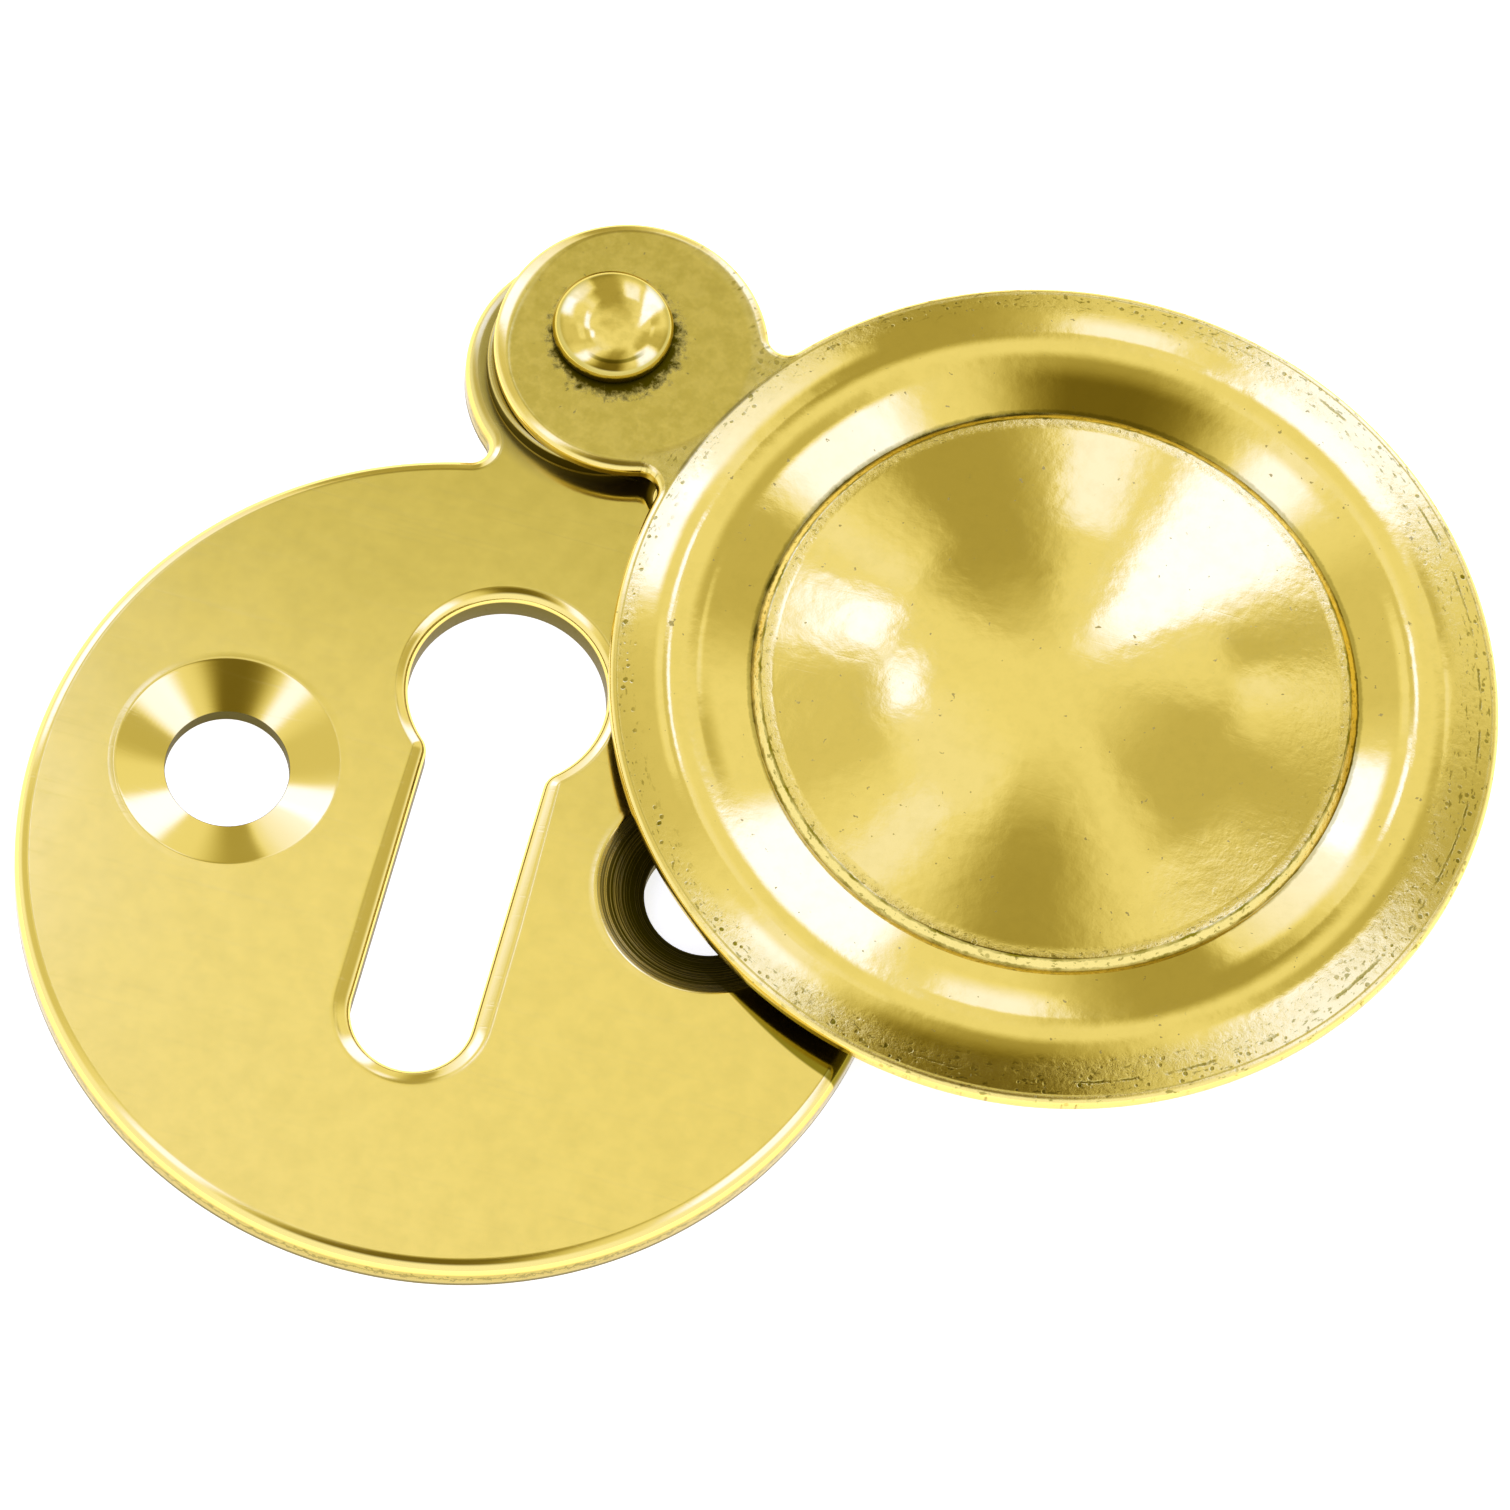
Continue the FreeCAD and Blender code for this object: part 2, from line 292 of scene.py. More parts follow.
def build_plate():
    mesh = bmesh.new()
    side_low = rounded(mesh, plate_outline, 0, 0.12, 4, downwards=True)
    side_high = rounded(mesh, plate_outline, PLATE_TOP, 0.5, 12)
    walls(mesh, [*reversed(side_low), *side_high])

    key = keyhole(3.65, 2.225, 15.4, 0.8, FINE / 2)
    key_high = rounded(mesh, key, PLATE_TOP, 0.45, 12, width=key_edge_width, outwards=-1)
    key_low = rounded(mesh, key, 0, 0.08, 3, outwards=-1, downwards=True)
    walls(mesh, [*reversed(key_high), *key_low])

    left_rim, left_foot = countersink(mesh, SCREW_HOLES[0], 1.7)
    right_rim, right_foot = countersink(mesh, SCREW_HOLES[1], 4.1)

    seat = along_arc(EAR_CENTRE, SEAT_RADIUS, 0, 360, FINE)
    seat_low = loop_of(mesh, moved_out(seat, 0), PLATE_TOP)
    seat_high = rounded(mesh, seat, SEAT_TOP, 0.15, 4)
    shank_high = loop_of(mesh, circle(PIVOT, SHANK_RADIUS, 64), SEAT_TOP)
    walls(mesh, [seat_low, *seat_high])
    land(mesh, seat_high[-1], [shank_high])

    tail_radius = 1.9
    tail_low = loop_of(mesh, circle(PIVOT, tail_radius, 64), 0)
    tail_seat = loop_of(mesh, circle(PIVOT, tail_radius, 64), 0.05)
    shank_low = loop_of(mesh, circle(PIVOT, SHANK_RADIUS, 64), 0.6)
    walls(mesh, [tail_low, tail_seat, shank_low, shank_high])

    land(mesh, side_high[-1], [key_high[-1], left_rim, right_rim, seat_low])
    land(mesh, side_low[-1], [key_low[-1], left_foot, right_foot, tail_low])
    return finished_piece(mesh, "plate_with_keyhole", "base", "base_plate")


plate = build_plate()

# %% [markdown]
# ## The swinging cover
#
# The cover is cast with its ear, then its front is turned: a broad raised ring that runs down to the
# rim, a narrow groove, and a low dome with a slanted edge. A turned form is one profile carried
# round an axis, so its loops are circles of the profile's points. The ear is flat, and there the
# circles give way to the disc-and-ear outline.

# %% Sizes of the cover in mm, at the place where it shuts
COVER_RADIUS = 16.32
COVER_BACK = 2.37
LIP_TOP = 3.02
LIP_ROUND = 0.29
FOOT_RADIUS = 16.0
CREST = (13.9, 3.42)
GROOVE = (11.15, 2.87)
DOME_EDGE_WIDTH = 0.34
DOME_EDGE_DEG = 44
DOME_EDGE_ROUND = 0.14
DOME_FLANK_DEG = 5.2
DOME_TIP_FROM = 8.0
SWING_DEG = 63.9


def level_arc(top, end, steps):
    """Points of an arc that starts level at top and falls away to end, top left out."""
    across = end[0] - top[0]
    drop = top[1] - end[1]
    radius = (across**2 + drop**2) / (2 * drop)
    whole = math.asin(abs(across) / radius)
    points = []
    for i in range(1, steps + 1):
        turn = whole * i / steps
        points.append((
            top[0] + math.copysign(radius * math.sin(turn), across),
            top[1] - radius * (1 - math.cos(turn)),
        ))
    return points

# %% The cover's front profile
def front_profile():
    """(radius, height) from the foot of the ring in to the middle of the dome."""
    ring_out = level_arc(CREST, (FOOT_RADIUS, LIP_TOP), 26)
    ring_in = level_arc(CREST, GROOVE, 34)
    profile = [*reversed(ring_out), CREST, *ring_in]

    flank = math.radians(DOME_FLANK_DEG)
    slant = math.radians(DOME_EDGE_DEG)
    corner = Vector((GROOVE[0] - DOME_EDGE_WIDTH, GROOVE[1] + DOME_EDGE_WIDTH * math.tan(slant)))
    run = DOME_EDGE_ROUND * math.tan((slant - flank) / 2)
    bend_start = corner + Vector((math.cos(slant), -math.sin(slant))) * run
    bend_centre = bend_start - Vector((math.sin(slant), math.cos(slant))) * DOME_EDGE_ROUND
    for i in range(8):
        angle = slant + (flank - slant) * i / 7
        out = Vector((math.sin(angle), math.cos(angle)))
        profile.append(tuple(bend_centre + out * DOME_EDGE_ROUND))

    edge_radius, edge_height = profile[-1]
    for i in range(1, 13):
        radius = edge_radius + (DOME_TIP_FROM - edge_radius) * i / 12
        profile.append((radius, edge_height + (edge_radius - radius) * math.tan(flank)))
    curve = DOME_TIP_FROM / math.sin(flank)
    dome_height = profile[-1][1] + curve * (1 - math.cos(flank))
    for i in range(1, 36):
        radius = DOME_TIP_FROM * (1 - i / 36)
        profile.append((radius, dome_height - curve + math.sqrt(curve**2 - radius**2)))
    return profile, dome_height


cover_profile, dome_height = front_profile()
print(f"profile of {len(cover_profile)} points, dome {dome_height:.2f} mm high")

# %% [markdown]
# The ear's edge was rounded by hand against a wheel: softer than the lip all round, and widest on
# the side that lies at the upper left when the cover stands open.

# %% How wide the cover's edge is rounded
def edge_width(place):
    """The lip keeps its turned round; the ear's round is wider, and widest at one side."""
    beyond_disc = (place - Vector(PLATE_CENTRE)).length - COVER_RADIUS
    on_ear = max(0.0, min(1.0, beyond_disc / 1.5))
    towards = place - Vector(EAR_CENTRE)
    angle = math.degrees(math.atan2(towards.y, towards.x))
    wide_side = math.exp(-(((angle - 104) / 32) ** 2))
    return LIP_ROUND + on_ear * (0.13 + 0.42 * wide_side)

# %% Build the cover
HOLLOW_RING = (15.02, 11.7)
HOLLOW_RING_RISE = 0.35
HOLLOW_DOME_RADIUS = 10.05
DOME_WALL = 0.85


def hollow_profile():
    """(radius, height) of the two hollows in the back, from the rim in to the middle."""
    outer, inner = HOLLOW_RING
    profile = [(outer, COVER_BACK)]
    for i in range(1, 20):
        share = i / 20
        rise = HOLLOW_RING_RISE * 4 * share * (1 - share)
        profile.append((outer + (inner - outer) * share, COVER_BACK + rise))
    profile.append((inner, COVER_BACK))
    roof = (0, dome_height - DOME_WALL)
    return profile + [*reversed(level_arc(roof, (HOLLOW_DOME_RADIUS, COVER_BACK), 24))]


def turned_loops(mesh, profile, centre, count):
    return [loop_of(mesh, circle(centre, radius, count), height) for radius, height in profile]


def build_cover():
    mesh = bmesh.new()
    outline = disc_with_ear(PLATE_CENTRE, COVER_RADIUS, EAR_CENTRE, EAR_RADIUS, EAR_CORNER, FINE)
    side_low = rounded(mesh, outline, COVER_BACK, 0.08, 3, downwards=True)
    side_high = rounded(mesh, outline, LIP_TOP, LIP_ROUND, 10, width=edge_width)
    walls(mesh, [*reversed(side_low), *side_high])

    front = turned_loops(mesh, cover_profile, PLATE_CENTRE, 384)
    walls(mesh, front)
    tip(mesh, front[-1], PLATE_CENTRE, dome_height)

    bore_high = loop_of(mesh, circle(PIVOT, SHANK_RADIUS + 0.05, 64), LIP_TOP)
    bore_low = loop_of(mesh, circle(PIVOT, SHANK_RADIUS + 0.05, 64), COVER_BACK)
    wall(mesh, bore_high, bore_low)
    land(mesh, side_high[-1], [front[0], bore_high])

    hollow = turned_loops(mesh, hollow_profile(), PLATE_CENTRE, 384)
    walls(mesh, hollow)
    tip(mesh, hollow[-1], PLATE_CENTRE, dome_height - DOME_WALL)
    land(mesh, side_low[-1], [hollow[0], bore_low])

    pivot = Vector((*PIVOT, 0)) * MM
    swing = Matrix.Rotation(math.radians(SWING_DEG), 4, "Z")
    mesh.transform(Matrix.Translation(pivot) @ swing @ Matrix.Translation(-pivot))
    return finished_piece(mesh, "domed_cover", "cover", "swing_cover")


cover = build_cover()

# %% [markdown]
# ## The rivet
#
# The rivet is the cover's pivot. Its head was closed with a hammer, so the crown is nearly flat and
# sits a little off the middle, and a full round shoulder leads down to the ear. Its tail is spread
# into the back of the plate. A closed profile makes all of it, and the upper loops are shifted.

# %% Build the rivet
HEAD_BOTTOM = 3.10
HEAD_RADIUS = 2.25
HEAD_SIDE = 0.18
SHOULDER_ROUND = 0.5
CROWN_DEG = 14
CROWN_SHIFT = Vector((0.05, -0.13))


def build_rivet():
    mesh = bmesh.new()
    side_top = HEAD_BOTTOM + HEAD_SIDE
    profile = [(1.9, 0.05), (SHANK_RADIUS, 0.6), (SHANK_RADIUS, HEAD_BOTTOM), (HEAD_RADIUS, HEAD_BOTTOM)]
    for i in range(25):
        turn = math.radians(90 + (CROWN_DEG - 90) * i / 24)
        reach = HEAD_RADIUS - SHOULDER_ROUND + SHOULDER_ROUND * math.sin(turn)
        profile.append((reach, side_top + SHOULDER_ROUND * math.cos(turn)))
    crown_radius, crown_edge = profile[-1]
    crown_rise = crown_radius * math.tan(math.radians(CROWN_DEG)) / 3.5
    top = crown_edge + crown_rise
    for i in range(1, 16):
        share = 1 - i / 16
        profile.append((crown_radius * share, crown_edge + crown_rise * (1 - share**3.5)))

    loops = []
    for radius, height in profile:
        lifted = max(0.0, (height - side_top) / (top - side_top))
        middle = Vector(PIVOT) + CROWN_SHIFT * lifted
        loops.append(loop_of(mesh, circle(middle, radius, 128), height))
    walls(mesh, loops)
    tip(mesh, loops[-1], Vector(PIVOT) + CROWN_SHIFT, top)
    tip(mesh, loops[0], PIVOT, 0.05)
    return finished_piece(mesh, "rivet_head_and_shank", "base", "pivot_rivet")


rivet = build_rivet()

# %% [markdown]
# ## Brass
#
# Polished brass gets nearly all its looks from what it mirrors, so its colour node is one plain
# yellow. What makes it this old casting is small: a polish that isn't quite flat, scratches, pits in
# the casting's skin where the wheel didn't reach, and dirt, with painted shade in the gaps, the holes
# and on the cast backs. Each is a height in real millimetres that a Bump node turns into slopes, or a
# mask that changes colour and roughness.
#
# The first cell holds short names for the nodes used everywhere.

# %% Helpers for nodes
def add_node(tree, kind, inputs=None, **settings):
    """Make a node, set its values and link its inputs in one call."""
    made = tree.nodes.new(kind)
    for name, value in settings.items():
        setattr(made, name, value)
    for name, value in (inputs or {}).items():
        socket = made.inputs[name]
        if isinstance(value, bpy.types.NodeSocket):
            tree.links.new(value, socket)
        else:
            socket.default_value = value
    return made


def calc(tree, operation, *values):
    inputs = dict(enumerate(values))
    return add_node(tree, "ShaderNodeMath", inputs, operation=operation).outputs[0]


def vector_calc(tree, operation, *values, output="Vector"):
    inputs = dict(enumerate(values))
    return add_node(tree, "ShaderNodeVectorMath", inputs, operation=operation).outputs[output]


def chained(tree, operation, values):
    """One operation over any number of values."""
    result = values[0]
    for value in values[1:]:
        result = calc(tree, operation, result, value)
    return result


def total(tree, *values):
    return chained(tree, "ADD", values)


def product(tree, *masks):
    """1 only where every mask is 1."""
    return chained(tree, "MULTIPLY", masks)


def strongest(tree, *masks):
    return chained(tree, "MAXIMUM", masks)


def plus(tree, base, value, share):
    """The base with a share of another value added to it."""
    return calc(tree, "MULTIPLY_ADD", value, share, base)

# %% [markdown]
# A mask is a number from 0 to 1 that says where something lies. The masks here are made from places
# in millimetres: how high, how far from an axis, which way round. Noise makes their edges uneven, so
# that a line looks worn and not drawn.

# %% Helpers for masks
def eased(tree, value, start, end, low=0.0, high=1.0, kind="SMOOTHSTEP"):
    """From low to high while the value goes from start to end, and level outside."""
    inputs = {"Value": value, "From Min": start, "From Max": end, "To Min": low, "To Max": high}
    return add_node(tree, "ShaderNodeMapRange", inputs, interpolation_type=kind).outputs["Result"]


def band(tree, value, start, full, still, end):
    """1 while the value lies between full and still, and 0 before start and after end."""
    return product(tree, eased(tree, value, start, full), eased(tree, value, end, still))


def grain(tree, place, scale, detail=2.0, rough=0.5, distortion=0.0):
    """Noise from 0 to 1 about 0.5, with the scale in waves per mm."""
    inputs = {"Vector": place, "Scale": scale, "Detail": detail, "Roughness": rough, "Distortion": distortion}
    return add_node(tree, "ShaderNodeTexNoise", inputs).outputs["Fac"]


def blended(tree, share, first, second):
    """A colour between two colours."""
    made = add_node(tree, "ShaderNodeMix", {0: share, 6: first, 7: second}, data_type="RGBA")
    return made.outputs[2]


def axes_of(tree, vector):
    """The three numbers of a vector."""
    parts = add_node(tree, "ShaderNodeSeparateXYZ", {0: vector}).outputs
    return parts["X"], parts["Y"], parts["Z"]


def from_middle(tree, place, centre):
    """Distance and angle in plan from an upright axis, in mm and radians."""
    offset = vector_calc(tree, "SUBTRACT", place, (*centre, 0))
    flat = vector_calc(tree, "MULTIPLY", offset, (1, 1, 0))
    x, y, _ = axes_of(tree, offset)
    return vector_calc(tree, "LENGTH", flat, output="Value"), calc(tree, "ARCTAN2", y, x)


def ring_line(tree, distance, radius, half_width):
    """1 on a circle of a radius, fading to 0 at half a width to each side."""
    off = calc(tree, "ABSOLUTE", calc(tree, "SUBTRACT", distance, radius))
    return eased(tree, off, half_width, half_width * 0.3)


def facing(tree, angle, way_deg):
    """1 towards a way round an axis, 0 square to it and -1 on the far side."""
    return calc(tree, "COSINE", calc(tree, "SUBTRACT", angle, math.radians(way_deg)))

# %% [markdown]
# Five colours tell the metal's state, from bare brass to dirt, and the four darker ones also stand in
# for shade: painted shade on the cast backs, in gaps and holes and beside the open cover, and painted
# reflections on the rivet. Tarnish and dirt hold almost no blue: on brass they look olive and brown,
# and a trace of blue would turn them grey.

# %% What every brass shares
BRASS = (0.915, 0.72, 0.185, 1)
DULL_AND_SHADED_BRASS = (0.58, 0.455, 0.078, 1)
CAST_BRASS_AND_SHADE = (0.13, 0.105, 0.01, 1)
TARNISH_AND_SHADE = (0.24, 0.185, 0.005, 1)
DIRT_AND_SHADE = (0.08, 0.06, 0.0, 1)
EDGE_TINT = (1.0, 0.93, 0.75, 1)


def start_brass(name):
    material = bpy.data.materials.new(name)
    material.use_nodes = True
    tree = material.node_tree
    shader = tree.nodes["Principled BSDF"]
    shader.inputs["Metallic"].default_value = 1
    shader.inputs["Specular Tint"].default_value = EDGE_TINT
    local = add_node(tree, "ShaderNodeTexCoord").outputs["Object"]
    place = vector_calc(tree, "MULTIPLY", local, (1 / MM, 1 / MM, 1 / MM))
    return material, tree, shader, place


def scratches(tree, place, angle_deg, seed):
    """Fine parallel hairlines, broken along their length, as a share from 0 to 1."""
    turned = add_node(tree, "ShaderNodeMapping", {
        "Vector": place, "Location": (seed, 2 * seed, 0),
        "Rotation": (0, 0, math.radians(angle_deg)), "Scale": (0.1, 7.0, 1.0),
    }).outputs["Vector"]
    lines = grain(tree, turned, 1.0, detail=3.0, rough=0.6)
    return eased(tree, lines, 0.60, 0.72)


def facing_up(tree):
    """1 on level faces, 0 on upright walls, -1 underneath."""
    normal = add_node(tree, "ShaderNodeTexCoord").outputs["Normal"]
    return axes_of(tree, normal)[2]


def cast_back_and_shade(tree):
    """1 where the casting faces down: the unpolished back is rough, and is painted dark as shade too."""
    return eased(tree, facing_up(tree), -0.35, -0.7)


def level_face(tree):
    """1 on level faces and 0 on every rounded edge, which hands and cloths wear bright."""
    return eased(tree, facing_up(tree), 0.985, 0.997)


def finish_brass(tree, shader, colour, roughness, height):
    """Link colour and roughness, and turn a height in mm into slopes."""
    bump = add_node(tree, "ShaderNodeBump", {"Height": height, "Strength": 1.0, "Distance": MM})
    tree.links.new(colour, shader.inputs["Base Color"])
    tree.links.new(roughness, shader.inputs["Roughness"])
    tree.links.new(bump.outputs["Normal"], shader.inputs["Normal"])

# %% [markdown]
# ### The plate's brass
#
# The plate is rubbed rather than buffed: a soft haze, hairlines in two directions, and a darker tone
# towards the ear. A painted picture could hold all that, but it would blur close up and stretch over
# the edges. Masks stay sharp at any distance, and each can be moved by changing one number.
#
# Tarnish is thin and olive. It lies on the rim, with the ragged seam of the mould. A strip on the
# plate beside the open cover is painted in the same olive: painted shade under the cover's edge and a
# painted reflection of the cover's side.

# %% Where the open cover lies
swung = Matrix.Rotation(math.radians(SWING_DEG), 2)


def swung_open(centre):
    """Where a place of the shut cover lies when the cover stands open."""
    return swung @ (Vector(centre) - Vector(PIVOT)) + Vector(PIVOT)


COVER_CENTRE = swung_open(PLATE_CENTRE)
OPEN_EAR_CENTRE = swung_open(EAR_CENTRE)
print("middle of the open cover in mm:", [round(x, 3) for x in COVER_CENTRE])

# %% Where the plate is darker, tarnished, and painted with the cover's shade
def plate_darkening(tree, place, fine_clouds):
    """Darker towards the ear and mottled all over, but bright on every worn edge."""
    _, y, _ = axes_of(tree, place)
    up_plate = plus(tree, y, grain(tree, place, 0.16, detail=3.0), 9.0)
    dull = eased(tree, up_plate, -7.0, 17.0, 0.0, 0.75)
    mottle = eased(tree, fine_clouds, 0.35, 0.7, 0.0, 0.16, "LINEAR")
    return product(tree, total(tree, dull, mottle), level_face(tree))


def plate_rim(tree, place):
    """1 on the upright side of the plate's disc."""
    from_plate, _ = from_middle(tree, place, PLATE_CENTRE)
    _, _, z = axes_of(tree, place)
    return product(tree, band(tree, z, 0.0, 0.15, 0.95, 1.12), eased(tree, from_plate, 15.3, 15.6))


def plate_tarnish_and_cover_shade(tree, place, skin):
    """An olive skin and a ragged seam on the rim, and painted shade and reflection beside the open cover."""
    _, y, z = axes_of(tree, place)
    on_rim = plate_rim(tree, place)
    off_seam = calc(tree, "ABSOLUTE", calc(tree, "SUBTRACT", z, product(tree, skin, 1.4)))
    seam = product(tree, eased(tree, off_seam, 0.13, 0.05), on_rim)
    rim_skin = product(tree, plus(tree, 0.6, seam, 0.4), on_rim)

    # Painted shade and a painted reflection of the cover's side, in a strip beside the open cover.
    beside_cover, _ = from_middle(tree, place, COVER_CENTRE)
    cover_shade_edge = eased(tree, y, -9.0, -13.0, 16.7, 17.35)
    cover_shade_strip = eased(tree, calc(tree, "SUBTRACT", beside_cover, cover_shade_edge), 0.04, -0.04)
    cover_shade_strip = product(tree, cover_shade_strip, eased(tree, y, -8.0, -9.5), eased(tree, beside_cover, 14.4, 15.9))
    return strongest(tree, cover_shade_strip, rim_skin)

# %% [markdown]
# Painted shade, thick and brown, lies where the parts shut out the light: on the wall of the seat,
# under the cover's ear, at the rim's foot, and on the walls of the keyhole and the screw holes. The
# right countersink is half covered and painted dark with it, and only the crests of the cutter's rings
# shine through.

# %% Where shade is painted on the plate
def sink_painted_shade(tree, place):
    """Painted shade in the right countersink, darker inwards, with the cutter's crests left bare."""
    from_sink, _ = from_middle(tree, place, SCREW_HOLES[1])
    crests = eased(tree, grain(tree, product(tree, from_sink, 9.0), 1.0, detail=2.0), 0.5, 0.6)
    inwards = eased(tree, from_sink, 4.0, 3.0, 0.85, 1.2)
    return product(tree, eased(tree, from_sink, 4.06, 3.98), inwards, plus(tree, 1.0, crests, -0.5))


def keyhole_wall_shade(tree, place):
    """Painted shade on the keyhole's wall, below its rounded edge."""
    x, _, z = axes_of(tree, place)
    from_plate, _ = from_middle(tree, place, PLATE_CENTRE)
    beside_key = eased(tree, calc(tree, "ABSOLUTE", x), 4.2, 4.0)
    inside_rim = eased(tree, from_plate, 15.0, 14.5)
    return product(tree, beside_key, eased(tree, z, 1.14, 1.04), inside_rim, 0.92)


# Painted shade under the cover's ear, on the seat's wall, at the rim's foot and in the holes.
def plate_painted_shade(tree, place):
    _, _, z = axes_of(tree, place)
    from_plate, _ = from_middle(tree, place, PLATE_CENTRE)
    from_ear, _ = from_middle(tree, place, EAR_CENTRE)
    seat_wall = band(tree, z, 1.5, 1.6, 2.15, 2.29)
    under_ear = eased(tree, from_ear, 5.3, 4.5, 0.0, 0.4)
    rim_foot = product(tree, eased(tree, z, 0.34, 0.22), eased(tree, from_plate, 15.3, 15.6), 0.8)
    dirt_and_shade = strongest(tree, seat_wall, under_ear, rim_foot, sink_painted_shade(tree, place), keyhole_wall_shade(tree, place))
    for centre in SCREW_HOLES:
        from_hole, _ = from_middle(tree, place, centre)
        dirt_and_shade = strongest(tree, dirt_and_shade, eased(tree, from_hole, HOLE_RADIUS + 0.03, HOLE_RADIUS))
    return dirt_and_shade

# %% Plate brass
CUTTER_PITCH = 0.17
CUT_DEPTHS = (0.0002, 0.0006)


def cutter_rings(tree, place, centre, depth):
    """The rings that the cutter left in a countersink, as a height in mm."""
    distance, _ = from_middle(tree, place, centre)
    wobble = plus(tree, distance, grain(tree, place, 0.5), 0.25)
    rings = calc(tree, "SINE", product(tree, wobble, 2 * math.pi / CUTTER_PITCH))
    return product(tree, rings, eased(tree, distance, SINK_RADIUS, SINK_RADIUS - 0.15, 0.0, depth))


def plate_brass():
    material, tree, shader, place = start_brass("plate_brass")
    fine_clouds = grain(tree, place, 1.1, detail=4.0, rough=0.6)
    skin = grain(tree, place, 3.5, detail=4.0, rough=0.65)
    hairs = strongest(tree, scratches(tree, place, 64, 3.0), scratches(tree, place, -18, 11.0))
    back = cast_back_and_shade(tree)
    dirt_and_shade = plate_painted_shade(tree, place)

    colour = blended(tree, plate_darkening(tree, place, fine_clouds), BRASS, DULL_AND_SHADED_BRASS)
    # Tarnish on the rim, and the painted shade and reflection beside the open cover.
    colour = blended(tree, product(tree, plate_tarnish_and_cover_shade(tree, place, skin), 0.95), colour, TARNISH_AND_SHADE)
    # The plate's cast back: rough, and painted dark as shade where it faces down.
    colour = blended(tree, back, colour, CAST_BRASS_AND_SHADE)
    # Painted shade in the plate's gaps, holes and the covered countersink.
    colour = blended(tree, dirt_and_shade, colour, DIRT_AND_SHADE)

    roughness = plus(tree, 0.07, fine_clouds, 0.06)
    roughness = plus(tree, roughness, hairs, 0.05)
    roughness = plus(tree, roughness, strongest(tree, back, dirt_and_shade), 0.35)

    height = product(tree, hairs, -0.0003)
    height = plus(tree, height, grain(tree, place, 0.3, detail=1.0), 0.004)
    for centre, depth in zip(SCREW_HOLES, CUT_DEPTHS):
        height = total(tree, height, cutter_rings(tree, place, centre, depth))
    unpolished = total(tree, plate_rim(tree, place), back)
    height = plus(tree, height, product(tree, skin, unpolished), 0.012)
    finish_brass(tree, shader, colour, roughness, height)
    return material


plate.data.materials.append(plate_brass())

# %% [markdown]
# ### The cover's brass
#
# The cover is buffed bright on the dome and the ring, but the polish is wavy, as hand work is. The
# casting's skin still shows from the crest out to the rim, more on the right than on the left, along
# the dome's slanted edge and on one side of the ear.
#
# The pits in it could be a bump of plain noise, but noise makes hills as often as holes. A Voronoi
# texture gives each small cell a middle and a chance. A dot round the middle, drawn larger or not at
# all by the chance, makes pits of many sizes. The streaks are noise again, looked up by distance and
# angle in place of x and y, which draws it out round the axis as a turning tool does.

# %% The casting's skin on the cover
def right_of_cover(tree, angle):
    """1 at the cover's right side and -1 at its left."""
    return calc(tree, "COSINE", calc(tree, "ADD", angle, 0.15))


def cover_skin(tree, place, clouds):
    """Masks of the rim that the wheel missed, of every rough place, and of the outermost rim."""
    distance, angle = from_middle(tree, place, COVER_CENTRE)
    _, rivet_angle = from_middle(tree, place, PIVOT)
    from_ear, _ = from_middle(tree, place, OPEN_EAR_CENTRE)
    on_ear = eased(tree, distance, 15.95, 16.1)
    on_disc = calc(tree, "SUBTRACT", 1.0, on_ear)
    right_side = right_of_cover(tree, angle)

    skin_from = plus(tree, plus(tree, 15.05, right_side, -0.5), clouds, -0.8)
    unbuffed = product(tree, eased(tree, calc(tree, "SUBTRACT", distance, skin_from), 0.0, 0.9), on_disc)
    dome_edge = band(tree, distance, 10.3, 10.7, 11.1, 11.2)
    dome_right = eased(tree, right_side, 0.3, 0.95, 0.0, 0.2)
    dome_right = product(tree, band(tree, distance, 7.0, 10.4, 10.7, 11.0), dome_right)
    ear_side = eased(tree, calc(tree, "COSINE", rivet_angle), 0.2, 0.7)
    ear_edge = product(tree, eased(tree, from_ear, 4.3, 4.7), on_ear, ear_side)
    rough_skin = strongest(tree, unbuffed, dome_edge, dome_right, ear_edge)
    outermost = product(tree, eased(tree, distance, 15.1, 15.7), on_disc)
    return unbuffed, rough_skin, outermost

# %% Pits and streaks
def cover_pits(tree, place, rough_skin, outermost):
    """Small dark pits in clusters, most of them on the outermost rim."""
    clusters = eased(tree, grain(tree, place, 0.7, detail=2.0), 0.42, 0.62)
    clusters = strongest(tree, clusters, product(tree, outermost, 0.7))
    cells = add_node(tree, "ShaderNodeTexVoronoi", {"Vector": place, "Scale": 3.4}).outputs
    chance = axes_of(tree, cells["Color"])[0]
    dot = plus(tree, cells["Distance"], chance, -0.40)
    dot = plus(tree, dot, grain(tree, place, 6.0, detail=1.0), 0.25)
    where = strongest(tree, product(tree, rough_skin, 0.5), outermost)
    return product(tree, eased(tree, dot, 0.14, 0.0), clusters, where)


def turning_streaks(tree, place):
    """Noise drawn out round the cover's axis."""
    distance, angle = from_middle(tree, place, COVER_CENTRE)
    around = add_node(tree, "ShaderNodeCombineXYZ", {
        0: product(tree, distance, 6.0), 1: product(tree, angle, 34.0),
    }).outputs[0]
    return grain(tree, around, 1.0, detail=3.0, rough=0.6)

# %% [markdown]
# Dark lines run round the cover. One lies in the groove, thin and olive, and wide and brown only at
# the upper left. One lies above it along the dome's edge. A third is what is left of a turned line
# near the rim, and shows on the right alone. All three are drawn with the same uneven distance.

# %% Lines round the cover
GROOVE_LINE = 11.12
DOME_EDGE_LINE = 10.83
RIM_LINE = 15.59
EAR_CREASE = 16.02


def uneven_distance(tree, place):
    """Distance from the open cover's axis, made ragged."""
    distance, _ = from_middle(tree, place, COVER_CENTRE)
    ragged = grain(tree, place, 4.0, detail=3.0, rough=0.7)
    return plus(tree, calc(tree, "ADD", distance, -0.07), ragged, 0.14)


